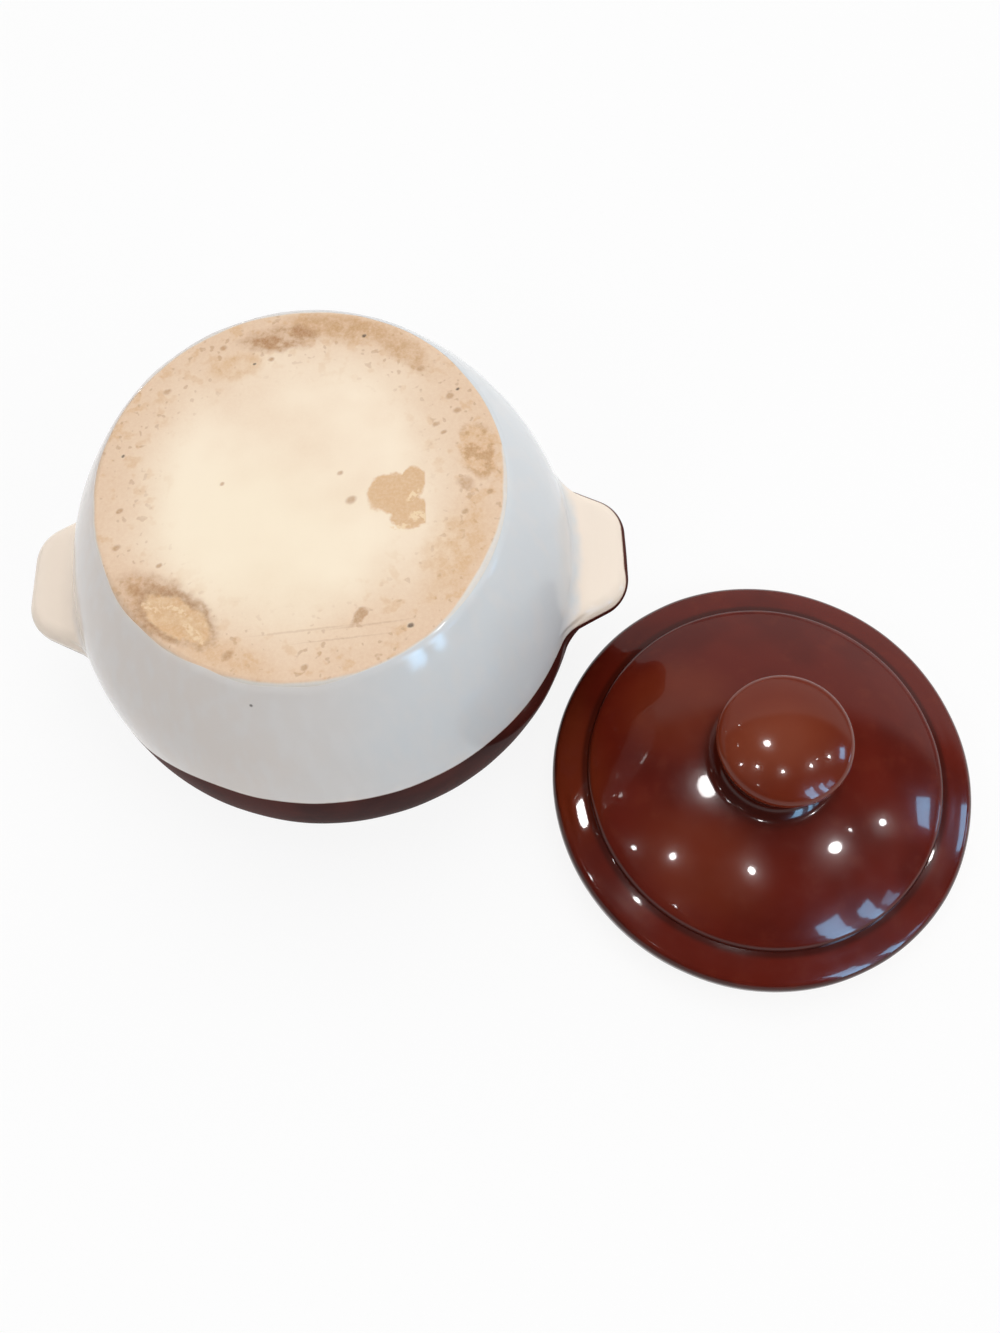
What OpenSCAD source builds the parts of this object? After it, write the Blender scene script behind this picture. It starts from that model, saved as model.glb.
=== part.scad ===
// Two-tone stoneware bean pot standing upside down on its rim, with its lid lying beside it.
// Millimetres, +Z up from the table. X runs along the line through the two handles.
// The pot and the lid are each drawn upright in their own axes, then set down in the layout.

/* [Pot] */
// Height of the pot from base to rim
pot_h = 112; // [106:1:124]
// Radius of the flat base, out to the start of the wall
base_r = 63.8; // [60:0.1:68]
// Radius of the clay at the belly, the widest place
belly_r = 86.6; // [83:0.1:90]
// Height of the belly above the base
belly_z = 68; // [64:1:72]
// Radius of the shoulder's curve above the belly
shoulder_round = 44; // [40:1:46]
// Radius of the hollow curve between shoulder and collar
neck_round = 4; // [2:0.5:6]
// Outside radius of the collar below the rim
collar_r = 71; // [70:0.5:73]
// Radius of the mouth, where the lid's flange goes in
mouth_r = 62.8; // [62:0.1:64]
// Thickness of the wall
wall = 6.5; // [5:0.5:8]
// Thickness of the bottom
floor_t = 8; // [6:0.5:10]
// Rounding of the base's edge
base_round = 2.5; // [1:0.5:4]
// Rounding inside, between bottom and wall
floor_round = 12; // [6:1:18]
// Rounding of the rim's outer edge
lip_round = 2.5; // [1:0.5:3]
// Rounding of the rim's inner edge
seat_round = 2; // [1:0.5:2.5]

/* [Handles] */
// Height of the handles' middle above the base
ear_z = 58.5; // [56:0.5:62]
// Distance from the pot's axis to a handle's tip
ear_reach = 104; // [100:0.5:108]
// Thickness of a handle
ear_t = 10; // [8:0.5:13]
// Width of the straight edge at a handle's tip
ear_tip_w = 17; // [10:1:22]
// Rounding of a handle's two outer corners, seen from above
ear_corner = 13.5; // [9:0.5:15]
// Angle by which a handle widens towards the pot on each side
ear_taper = 27; // [15:1:35]
// Rounding in the corner between a handle's side and the pot
ear_blend = 4; // [3:0.5:12]

/* [Lid] */
// Radius of the clay at the brim's edge
brim_r = 74.5; // [73.5:0.5:75.5]
// Height of the brim's widest place above the flange's bottom
brim_z = 11.2; // [10.5:0.1:11.5]
// Rounding of the brim's upper edge
brim_round = 4; // [3.5:0.5:5]
// Rounding of the brim's lower edge
brim_low_round = 2; // [1:0.5:2.5]
// Angle at which the brim's top starts to rise inward from its edge
brim_slope = 24; // [22:1:26]
// Radius of the curve over the brim's top
brim_crown = 60; // [50:1:90]
// Outside radius of the flange that goes into the mouth
flange_r = 61; // [60:0.1:61.6]
// Inside radius of the flange
flange_in_r = 55; // [53:0.5:56]
// Depth of the flange below the brim
flange_h = 7; // [5:0.5:7]
// Rounding of the flange's bottom edges
flange_round = 1.5; // [0.5:0.5:2]
// Radius of the step where the dome rises from the brim
step_r = 62.1; // [61:0.1:62.8]
// Rounding at the top of the step
step_round = 5.5; // [4.5:0.5:7]
// Rounding of the groove at the foot of the step
groove_round = 1.5; // [1:0.1:2]
// Radius of the dome's curve
dome_round = 127; // [125:1:130]
// Height of the dome's crown above the flange's bottom, under the knob
dome_z = 37.4; // [36.8:0.1:38.5]
// Thickness of the dome
lid_wall = 6.5; // [5:0.5:7]

/* [Knob] */
// Radius of the knob's cap
knob_r = 21.8; // [20:0.1:23]
// Height of the cap's widest place above the flange's bottom
knob_z = 57.3; // [57:0.1:62]
// Rounding of the cap's edge
cap_round = 4.5; // [3:0.5:6]
// Radius of the curve over the cap's top
crown_round = 36; // [28:1:50]
// Radius of the knob's neck
stem_r = 17.5; // [15:0.5:18]
// Rounding under the cap, between cap and neck
under_round = 7; // [6:0.5:8]
// Rounding between neck and dome
foot_round = 7; // [6:0.5:9]

/* [Glaze] */
// Thickness of the fired glaze
glaze = 0.5; // [0.3:0.1:0.8]
// Height of the line between white and brown above the base
glaze_line = 54; // [50:0.5:58]
// Height to which the white climbs a handle's edge from its lower face
ear_white = 2.5; // [1:0.5:4]
// Bare height left at the foot of the wall
foot_bare = 0.5; // [0.5:0.5:3]
// Bare width left below the mouth and at the flange's lower edge
seat_bare = 3; // [2:0.5:5]

/* [Layout] */
// Distance from the pot's axis to the lid's axis along X
lid_dx = 150.1; // [149:0.1:170]
// Distance from the pot's axis to the lid's axis along Y
lid_dy = -71.3; // [-90:0.1:-71]

/* [Hidden] */
$fn = 120;
wide = 400; // larger than the whole object, for cutting slabs
clay_colour = "#ecd6b9";
white_colour = "#d9d8d4";
brown_colour = "#5e241b";

// The layout's footprint is centred on the origin
pot_x = (ear_reach - lid_dx - brim_r) / 2;
pot_y = (brim_r - lid_dy - belly_r) / 2;

// Pot: centres and meeting angles of the arcs of its outline
wall_round = ((belly_r - base_r) ^ 2 + belly_z ^ 2) / (2 * (belly_r - base_r));
wall_c = [belly_r - wall_round, belly_z];
shoulder_c = [belly_r - shoulder_round, belly_z];
base_c = corner_centre(wall_round, base_round, base_round);
base_a = angle_from(wall_c, base_c);
neck_out = collar_r + neck_round - shoulder_c.x;
neck_c = [collar_r + neck_round, belly_z + sqrt((shoulder_round + neck_round) ^ 2 - neck_out ^ 2)];
neck_a = angle_from(shoulder_c, neck_c);
lip_c = [collar_r - lip_round, pot_h - lip_round];
seat_c = [mouth_r + seat_round, pot_h - seat_round];
mouth_a = acos((mouth_r - shoulder_c.x) / (shoulder_round - wall));
lining_a = mouth_a - seat_bare / (shoulder_round - wall) * 180 / PI;
floor_c = corner_centre(wall_round - wall, floor_round, floor_t + floor_round);
floor_a = angle_from(wall_c, floor_c);

// Handles: centre of a corner, centre of the blend into the pot, and where the root ends inside the pot's form
ear_c = [ear_reach - ear_corner, ear_tip_w / 2];
ear_nose_x = ear_reach - ear_t / 2;
ear_root_x = base_r;
ear_line = ear_z - ear_t / 2 + ear_white;
ear_wall_r = wall_c.x + sqrt(wall_round ^ 2 - (belly_z - ear_z) ^ 2);
ear_side_a = 90 - ear_taper;
blend_from = ear_c + (ear_corner + ear_blend) * [cos(ear_side_a), sin(ear_side_a)];
blend_dir = [-cos(ear_taper), sin(ear_taper)];
blend_mid = blend_from * blend_dir;
blend_gap = blend_from * blend_from - (ear_wall_r + ear_blend) ^ 2;
blend_c = blend_from + blend_dir * (-blend_mid - sqrt(blend_mid ^ 2 - blend_gap));
blend_a = angle_from([0, 0], blend_c);

// Lid and knob: centres and meeting angles of the arcs of their outline
brim_c = [brim_r - brim_round, brim_z];
brim_low_c = [brim_r - brim_low_round, flange_h + brim_low_round];
brim_a = 90 - brim_slope;
brim_top_c = brim_c - (brim_crown - brim_round) * [cos(brim_a), sin(brim_a)];
dome_c = [0, dome_z - dome_round];
step_x = step_r - step_round;
step_c = [step_x, dome_c.y + sqrt((dome_round - step_round) ^ 2 - step_x ^ 2)];
step_a = angle_from(dome_c, step_c);
groove_c = meeting(step_c, step_round + groove_round, brim_top_c, brim_crown + groove_round);
groove_brim_a = angle_from(brim_top_c, groove_c);
groove_step_a = angle_from(step_c, groove_c);
foot_x = stem_r + foot_round;
foot_c = [foot_x, dome_c.y + sqrt((dome_round + foot_round) ^ 2 - foot_x ^ 2)];
foot_a = angle_from(dome_c, foot_c);
cap_c = [knob_r - cap_round, knob_z];
under_x = stem_r + under_round;
under_c = [under_x, knob_z - sqrt((under_round + cap_round) ^ 2 - (under_x - cap_c.x) ^ 2)];
under_a = angle_from(cap_c, under_c);
crown_c = [0, knob_z - sqrt((crown_round - cap_round) ^ 2 - cap_c.x ^ 2)];
crown_a = angle_from(crown_c, cap_c);

// Points along an arc about c from angle a to angle b, no two further than 4 degrees apart
function arc(c, r, a, b) =
    let (steps = max(2, ceil(abs(b - a) / 4)))
    [for (i = [0 : steps]) c + r * [cos(a + (b - a) * i / steps), sin(a + (b - a) * i / steps)]];

function angle_from(a, b) = atan2(b.y - a.y, b.x - a.x);

function reversed(list) = [for (i = [len(list) - 1 : -1 : 0]) list[i]];

// Where circles about a and b cross, on the left of the way from a to b
function meeting(a, a_r, b, b_r) =
    let (way = (b - a) / norm(b - a),
         ahead = (a_r ^ 2 - b_r ^ 2 + norm(b - a) ^ 2) / (2 * norm(b - a)))
    a + ahead * way + sqrt(a_r ^ 2 - ahead ^ 2) * [-way.y, way.x];

// Centre, at height z, of a rounding of radius r that fits inside the lower wall's arc of radius wall_r
function corner_centre(wall_r, r, z) = [wall_c.x + sqrt((wall_r - r) ^ 2 - (belly_z - z) ^ 2), z];

// Outside of the pot from the base's edge up to the rim, swollen by t
function pot_outside(t) = concat(
    arc(base_c, base_round + t, -90, base_a),
    arc(wall_c, wall_round + t, base_a, 0),
    arc(shoulder_c, shoulder_round + t, 0, neck_a),
    arc(neck_c, neck_round - t, 180 + neck_a, 180),
    arc(lip_c, lip_round + t, 0, 90));

// Inside of the pot from the lining's edge down to the middle of the bottom, thickened by t
function pot_inside(t) = concat(
    arc(shoulder_c, shoulder_round - wall - t, lining_a, 0),
    arc(wall_c, wall_round - wall - t, 0, floor_a),
    arc(floor_c, floor_round - t, floor_a, -90),
    [[0, floor_t + t]]);

// A handle seen from above, swollen by t
function ear_plan(t) =
    let (blend = arc(blend_c, ear_blend - t, 180 + ear_side_a, 180 + blend_a),
         root = [ear_root_x, blend[len(blend) - 1].y],
         half = concat(arc(ear_c, ear_corner + t, 0, ear_side_a), blend, [root]))
    concat(half, [for (p = reversed(half)) [p.x, -p.y]]);

// A handle seen from the side, with a round nose, swollen by t
function ear_side(t) = concat(
    [[ear_root_x, -ear_t / 2 - t]],
    arc([ear_nose_x, 0], ear_t / 2 + t, -90, 90),
    [[ear_root_x, ear_t / 2 + t]]);

// Top of the lid from the brim's lower edge to the knob's foot, swollen by t
function lid_top(t) = concat(
    arc(brim_low_c, brim_low_round + t, -90, 0),
    arc(brim_c, brim_round + t, 0, brim_a),
    arc(brim_top_c, brim_crown + t, brim_a, groove_brim_a),
    arc(groove_c, groove_round - t, 180 + groove_brim_a, 180 + groove_step_a),
    arc(step_c, step_round + t, groove_step_a, step_a),
    arc(dome_c, dome_round + t, step_a, foot_a));

// Outside of the knob from its foot to the middle of its crown, swollen by t
function knob_side(t) = concat(
    arc(foot_c, foot_round - t, 180 + foot_a, 180),
    arc(under_c, under_round - t, 180, 180 + under_a),
    arc(cap_c, cap_round + t, under_a, crown_a),
    arc(crown_c, crown_round + t, crown_a, 90));

// Underside of the lid from height z on the flange to the middle of the dome, thickened by t
function lid_under(z, t) =
    let (r = dome_round - lid_wall - t,
         x = flange_in_r - t,
         y = dome_c.y + sqrt(r ^ 2 - x ^ 2))
    concat([[x, z]], arc(dome_c, r, angle_from(dome_c, [x, y]), 90));

// Patch of the dome that the knob stands on
knob_seat = arc(dome_c, dome_round, foot_a, 90);

// Turns the upright pot over and stands it on its rim
module pot_pose() {
    translate([pot_x, pot_y, pot_h]) rotate([180, 0, 0]) children();
}

// Lays the lid on the table beside the pot
module lid_pose() {
    translate([pot_x + lid_dx, pot_y + lid_dy, 0]) children();
}

// One handle on the +X side, with its root running into the pot, swollen by t
module ear(t) {
    translate([0, 0, ear_z]) intersection() {
        linear_extrude(height = wide, center = true) polygon(ear_plan(t));
        rotate([90, 0, 0]) linear_extrude(height = wide, center = true) polygon(ear_side(t));
    }
}

// The pot's outside filled solid, swollen by t
module pot_form(t) {
    rotate_extrude() polygon(concat([[0, 0]], pot_outside(t), [[0, pot_h + t]]));
}

// Both handles with their roots, swollen by t
module ears(t) {
    ear(t);
    mirror([1, 0, 0]) ear(t);
}

// Everything between two heights
module slab(low, high) {
    translate([-wide / 2, -wide / 2, low]) cube([wide, wide, high - low]);
}

// Glaze over the pot between two heights, broken where the handles grow out of it
module pot_coat(low, high) {
    difference() {
        intersection() {
            pot_form(glaze);
            slab(low, high);
        }
        pot_form(0);
        ears(0);
    }
}

// Glaze over the handles between two heights, outside the pot's own glaze
module ear_coat(low, high) {
    difference() {
        intersection() {
            ears(glaze);
            slab(low, high);
        }
        ears(0);
        pot_form(glaze);
    }
}

module pot_body() {
    color(clay_colour) pot_pose() rotate_extrude() polygon(concat(
        [[0, 0]],
        pot_outside(0),
        arc(seat_c, seat_round, 90, 180),
        arc(shoulder_c, shoulder_round - wall, mouth_a, lining_a),
        pot_inside(0)));
}

module right_handle() {
    color(clay_colour) pot_pose() difference() {
        ear(0);
        pot_form(0);
    }
}

module left_handle() {
    color(clay_colour) pot_pose() difference() {
        mirror([1, 0, 0]) ear(0);
        pot_form(0);
    }
}

module white_glaze() {
    color(white_colour) pot_pose() {
        pot_coat(foot_bare, glaze_line);
        ear_coat(foot_bare, ear_line);
    }
}

module brown_glaze() {
    color(brown_colour) pot_pose() {
        pot_coat(glaze_line, pot_h - lip_round);
        ear_coat(ear_line, pot_h - lip_round);
    }
}

module pot_lining() {
    color(brown_colour) pot_pose() rotate_extrude() polygon(concat(
        pot_inside(0),
        reversed(pot_inside(glaze))));
}

module lid_body() {
    color(clay_colour) lid_pose() rotate_extrude() polygon(concat(
        arc([flange_in_r + flange_round, flange_round], flange_round, 180, 270),
        arc([flange_r - flange_round, flange_round], flange_round, -90, 0),
        [[flange_r, flange_h]],
        lid_top(0),
        knob_seat,
        reversed(lid_under(flange_round, 0))));
}

module knob() {
    color(clay_colour) lid_pose() rotate_extrude() polygon(concat(
        reversed(knob_seat),
        knob_side(0)));
}

module lid_glaze() {
    color(brown_colour) lid_pose() rotate_extrude() polygon(concat(
        lid_top(0),
        knob_side(0),
        reversed(knob_side(glaze)),
        reversed(lid_top(glaze))));
}

module lid_lining() {
    color(brown_colour) lid_pose() rotate_extrude() polygon(concat(
        lid_under(seat_bare, 0),
        reversed(lid_under(seat_bare, glaze))));
}

pot_body();
left_handle();
right_handle();
white_glaze();
brown_glaze();
pot_lining();
lid_body();
knob();
lid_glaze();
lid_lining();
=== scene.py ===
"""Bean pot in two glazes, standing upside down on its rim, with its knobbed lid beside it.

Sizes are millimetres in the part's own frame, where the table is z = 0. A height h on the pot is measured
from its base, as if it stood upright, so a point of it lies at z = POT_H - h.
"""
import math

import bpy
import numpy as np
from mathutils import Matrix, Vector


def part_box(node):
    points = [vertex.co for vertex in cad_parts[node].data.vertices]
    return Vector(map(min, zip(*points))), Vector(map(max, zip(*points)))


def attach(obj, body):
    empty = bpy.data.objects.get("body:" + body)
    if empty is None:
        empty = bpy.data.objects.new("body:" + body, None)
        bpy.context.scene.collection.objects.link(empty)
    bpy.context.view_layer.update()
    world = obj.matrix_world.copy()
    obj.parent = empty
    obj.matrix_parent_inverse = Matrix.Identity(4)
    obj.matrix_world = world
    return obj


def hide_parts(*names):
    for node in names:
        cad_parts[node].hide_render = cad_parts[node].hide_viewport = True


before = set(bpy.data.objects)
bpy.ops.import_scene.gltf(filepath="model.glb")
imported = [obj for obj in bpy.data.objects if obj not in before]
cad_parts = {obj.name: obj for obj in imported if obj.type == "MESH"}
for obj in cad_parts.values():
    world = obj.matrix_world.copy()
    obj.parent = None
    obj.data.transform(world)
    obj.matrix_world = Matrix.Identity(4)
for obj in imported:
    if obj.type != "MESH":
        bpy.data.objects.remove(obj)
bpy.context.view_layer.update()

MM = 0.001

# Pot: outside and inside outline
POT_H = 112.0
BASE_R = 63.8
BELLY_R = 86.6
BELLY_H = 68.0
SHOULDER_ROUND = 44.0
NECK_ROUND = 4.0
COLLAR_R = 71.0
MOUTH_R = 62.8
WALL = 6.5
FLOOR_T = 8.0
BASE_ROUND = 2.5
FLOOR_ROUND = 12.0
LIP_ROUND = 2.5
SEAT_ROUND = 2.0

# Handles: two flat ears on opposite sides, each blended into the wall
EAR_H = 58.5
EAR_REACH = 104.0
EAR_HALF_T = 5.0
EAR_TIP_HALF = 8.5
EAR_CORNER = 13.5
EAR_TAPER = math.radians(27)
EAR_EDGE = 4.4
EAR_SIDE_BLEND = 3.5
EAR_FACE_BLEND = 8.0
EAR_BLEND_FADE = 2.0
EAR_SPAN = 26.0

# Hand-made unevenness: the base sits off the axis and is slightly oval, which fades out up to a height
BASE_SHIFT = (1.0, 0.8)
BASE_OVAL = 0.8
BASE_OVAL_TURN = math.radians(110)
UNEVEN_TO = 46.0

# Lid and knob
BRIM_R = 74.5
BRIM_Z = 11.2
BRIM_ROUND = 4.0
BRIM_LOW_ROUND = 2.0
BRIM_SLOPE = 24.0
BRIM_CROWN = 60.0
FLANGE_H = 7.0
STEP_R = 62.1
STEP_ROUND = 5.5
GROOVE_ROUND = 0.75
GROOVE_LEAST = 0.2
DOME_ROUND = 127.0
DOME_Z = 37.4
KNOB_R = 21.8
KNOB_Z = 57.3
CAP_ROUND = 4.5
CROWN_ROUND = 36.0
STEM_R = 17.5
UNDER_ROUND = 7.0
FOOT_ROUND = 7.0

# Glaze: its thickness, how far its inside and the pot's clay are set back from the face between them, and
# how it thins to its bare edge
GLAZE = 0.5
SET_BACK = 0.06
EDGE_THIN = 1.6
EDGE_LEFT = 0.1

# Bare height at the foot on the right and elsewhere, where the right is, the angle at which the foot's arc
# starts, and the bare height by the lip
FOOT_EDGE = (0.02, 0.8)
FOOT_EDGE_TURN = math.radians(-18)
FOOT_EDGE_FADE = (0.2, 0.8)
FOOT_FROM = -60
LIP_BARE = 0.6

# Height of the line between the two glazes at angles about the pot, the degrees that it is averaged over,
# and its height on each ear
LINE_TURNS = (180, 222, 231, 237, 243, 251, 261, 270, 290, 310, 320, 330, 360, 450, 510, 540)
LINE_HEIGHTS = (
    60.0, 60.0, 55.0, 50.6, 49.2, 49.6, 50.6, 51.4,
    52.7, 54.0, 54.8, 55.6, 56.0, 52.0, 56.0, 60.0,
)
LINE_SMOOTH = np.linspace(-8, 8, 17)
RIGHT_EAR_LINE = 54.4
RIGHT_EAR_NEAR_LINE = 57.2
LEFT_EAR_LINE = 59.2

# Degrees from an ear's middle at which its own line takes over, and at which its near side starts
EAR_LINE_FADE = (27.0, 17.0)
NEAR_SIDE = (-3.0, -13.0)

# Waves of the coats' edges: height (at the foot as a share of its bare height), count round the pot, shift
LINE_WAVES = ((0.12, 5, 0.6), (0.10, 11, 2.1), (0.06, 23, 0.0))
FOOT_WAVES = ((0.5, 7, 0.0), (0.4, 17, 1.0))
LIP_WAVES = ((0.3, 6, 2.0), (0.2, 19, 0.0))

# Unevenness of the coats: size of the bumps, height and seed, and how far the sizes spread
POT_RIPPLES = ((34, 0.06, 11), (13, 0.03, 12))
LID_RIPPLES = ((34, 0.06, 21), (12, 0.015, 22))
RIPPLE_SPREAD = (0.7, 1.6)

# Degrees between the outlines of the pot's coats at the ears and elsewhere, and of the other round pieces
EAR_STEP = 0.25
COAT_STEP = 1.0
RING_STEP = 0.75

# Which rows a coat's inside keeps, the angle over which edges stay sharp, and the least divisor
INNER_KEEP = 3
SHARP = math.radians(35)
TINY = 1e-9


def node_middle(name):
    """The x and y of the middle of a solid's box, in millimetres."""
    low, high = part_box(name)
    return np.array([(low.x + high.x) / 2, (low.y + high.y) / 2]) / MM


POT_AT = node_middle("pot_body")
LID_AT = node_middle("lid_body")


def arc(centre, radius, start, end, steps):
    """Points (r, h) along an arc, with its angles in degrees."""
    a = np.radians(np.linspace(start, end, steps + 1))
    return np.stack([centre[0] + radius * np.cos(a), centre[1] + radius * np.sin(a)], 1)


def angle_to(a, b):
    """Direction from point a to point b, in degrees."""
    return math.degrees(math.atan2(b[1] - a[1], b[0] - a[0]))


def ripple(points, size, seed, waves=12):
    """A smooth seeded unevenness between about -1 and 1, whose bumps are about size across."""
    rng = np.random.default_rng(seed)
    way = rng.normal(size=(waves, 3))
    long = size * rng.uniform(*RIPPLE_SPREAD, waves)
    way *= (2 * math.pi / long / np.linalg.norm(way, axis=1))[:, None]
    shift = rng.uniform(0, 2 * math.pi, waves)
    return np.sin(points @ way.T + shift).sum(-1) / math.sqrt(waves)


def ripples(points, rows):
    """Ripples added up, from rows of size, height and seed."""
    return sum(height * ripple(points, size, seed) for size, height, seed in rows)


def edge_waves(turn, rows):
    """Waves round an axis added up, from rows of height, count and shift."""
    return sum(height * np.sin(count * turn + shift) for height, count, shift in rows)


def smoothstep(low, high, x):
    """A smooth change from 0 at low to 1 at high."""
    t = np.clip((x - low) / (high - low), 0, 1)
    return t * t * (3 - 2 * t)


# Centres of the arcs of the pot's outline
WALL_ROUND = ((BELLY_R - BASE_R) ** 2 + BELLY_H ** 2) / (2 * (BELLY_R - BASE_R))
WALL_C = (BELLY_R - WALL_ROUND, BELLY_H)
SHOULDER_C = (BELLY_R - SHOULDER_ROUND, BELLY_H)
BASE_C = (WALL_C[0] + math.sqrt((WALL_ROUND - BASE_ROUND) ** 2 - (BELLY_H - BASE_ROUND) ** 2), BASE_ROUND)
NECK_X = COLLAR_R + NECK_ROUND
NECK_C = (NECK_X, BELLY_H + math.sqrt((SHOULDER_ROUND + NECK_ROUND) ** 2 - (NECK_X - SHOULDER_C[0]) ** 2))
LIP_C = (COLLAR_R - LIP_ROUND, POT_H - LIP_ROUND)
SEAT_C = (MOUTH_R + SEAT_ROUND, POT_H - SEAT_ROUND)
FLOOR_H = FLOOR_T + FLOOR_ROUND
FLOOR_X = WALL_C[0] + math.sqrt((WALL_ROUND - WALL - FLOOR_ROUND) ** 2 - (BELLY_H - FLOOR_H) ** 2)
FLOOR_C = (FLOOR_X, FLOOR_H)
BASE_A = angle_to(WALL_C, BASE_C)
NECK_A = angle_to(SHOULDER_C, NECK_C)
MOUTH_A = math.degrees(math.acos((MOUTH_R - SHOULDER_C[0]) / (SHOULDER_ROUND - WALL)))
FLOOR_A = angle_to(WALL_C, FLOOR_C)


def body_field(r, h):
    """Distance outside the pot's round body, good near the belly."""
    lower = np.hypot(r - WALL_C[0], h - BELLY_H) - WALL_ROUND
    upper = np.hypot(r - SHOULDER_C[0], h - BELLY_H) - SHOULDER_ROUND
    return np.where(h < BELLY_H, lower, upper)


def ear_reaches(x, y, h):
    """Distances outside the two ears, less their rounded edge, in plan and in height."""
    dx = np.abs(x) - (EAR_REACH - EAR_CORNER)
    dy = np.abs(y) - EAR_TIP_HALF
    side = dx * math.sin(EAR_TAPER) + dy * math.cos(EAR_TAPER)
    along = dy * math.sin(EAR_TAPER) - dx * math.cos(EAR_TAPER)
    corner = np.where(along > 0, side, np.hypot(dx, dy))
    plan = np.where(dy < 0, np.maximum(dx, side), corner) - EAR_CORNER
    return plan + EAR_EDGE, np.abs(h - EAR_H) - (EAR_HALF_T - EAR_EDGE)


def pot_field(r, turn, h):
    """Distance outside body and ears, melted together: tightly at an ear's sides, softly at its faces."""
    body = body_field(r, h)
    out, up = ear_reaches(r * np.cos(turn), r * np.sin(turn), h)
    inside = np.minimum(np.maximum(out, up), 0)
    ear = inside + np.hypot(np.maximum(out, 0), np.maximum(up, 0)) - EAR_EDGE
    face = smoothstep(-EAR_BLEND_FADE, EAR_BLEND_FADE, up - out)
    blend = EAR_SIDE_BLEND + (EAR_FACE_BLEND - EAR_SIDE_BLEND) * face
    share = np.clip(0.5 + 0.5 * (ear - body) / blend, 0, 1)
    return ear + (body - ear) * share - blend * share * (1 - share)


# The pot's outlines are traced in steps between two heights, where the ears are
TRACE_FROM = 40.0
TRACE_TO = 80.0
TRACE_STEP = 0.35
TRACE_COUNT = 330
SLOPE_STEP = 0.01


def slopes(r, turn, h):
    """The pot's distance field at (r, h) and how it grows along r and along h."""
    along_r = (pot_field(r + SLOPE_STEP, turn, h) - pot_field(r - SLOPE_STEP, turn, h)) / (2 * SLOPE_STEP)
    along_h = (pot_field(r, turn, h + SLOPE_STEP) - pot_field(r, turn, h - SLOPE_STEP)) / (2 * SLOPE_STEP)
    return pot_field(r, turn, h), along_r, along_h


def trace(turn, thick):
    """Outlines (r, h) of the pot at each angle, ears and all, from TRACE_FROM upwards."""
    h = np.full_like(turn, TRACE_FROM)
    r = WALL_C[0] + np.sqrt((WALL_ROUND + thick) ** 2 - (BELLY_H - h) ** 2)
    line = [np.stack([r, h], 1)]
    for _ in range(TRACE_COUNT):
        _, along_r, along_h = slopes(r, turn, h)
        size = np.hypot(along_r, along_h)
        r = r - TRACE_STEP * along_h / size
        h = h + TRACE_STEP * along_r / size
        for _ in range(2):
            out, along_r, along_h = slopes(r, turn, h)
            back = (out - thick) / (along_r ** 2 + along_h ** 2)
            r = r - back * along_r
            h = h - back * along_h
        line.append(np.stack([r, h], 1))
    return np.stack(line, 1)


def pot_columns():
    """Angles of the pot's outlines, close together at the ears."""
    fine = np.arange(-EAR_SPAN, EAR_SPAN, EAR_STEP)
    coarse = np.arange(EAR_SPAN, 180 - EAR_SPAN, COAT_STEP)
    return np.radians(np.concatenate([fine, coarse, fine + 180, coarse + 180]))


def glaze_line(turn):
    """Height of the line between the two glazes: tilted, a little wavy, and of its own on each ear."""
    from_ear = np.degrees(np.arcsin(np.sin(turn)))
    ear = smoothstep(*EAR_LINE_FADE, np.abs(from_ear))
    turned = np.degrees(turn)[:, None] + LINE_SMOOTH
    height = np.interp((turned - 180) % 360 + 180, LINE_TURNS, LINE_HEIGHTS).mean(1)
    near = smoothstep(*NEAR_SIDE, from_ear)
    right_height = RIGHT_EAR_LINE + (RIGHT_EAR_NEAR_LINE - RIGHT_EAR_LINE) * near
    ear_height = np.where(np.cos(turn) > 0, right_height, LEFT_EAR_LINE)
    return height * (1 - ear) + ear_height * ear + edge_waves(turn, LINE_WAVES)


def lengths(line):
    """Arc length at each point of a polyline."""
    return np.concatenate([[0], np.cumsum(np.linalg.norm(np.diff(line, axis=0), axis=1))])


def along(line, count, start, end):
    """A number of points on a polyline, from the arc length start to end."""
    s = lengths(line)
    at = np.linspace(start, end, count)
    return np.stack([np.interp(at, s, line[:, 0]), np.interp(at, s, line[:, 1])], 1)


def reach(line, h):
    """Arc length at which a polyline first climbs to the height h."""
    s = lengths(line)
    i = max(1, int(np.argmax(line[:, 1] >= h)))
    part = (h - line[i - 1, 1]) / max(line[i, 1] - line[i - 1, 1], TINY)
    return s[i - 1] + part * (s[i] - s[i - 1])


# Heights between which the ears lie, and each coat's rows below and above such a height
EAR_LOW = 45.0
EAR_HIGH = 76.0
WHITE_ROWS = (36, 44)
BROWN_ROWS = (48, 40)


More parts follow.
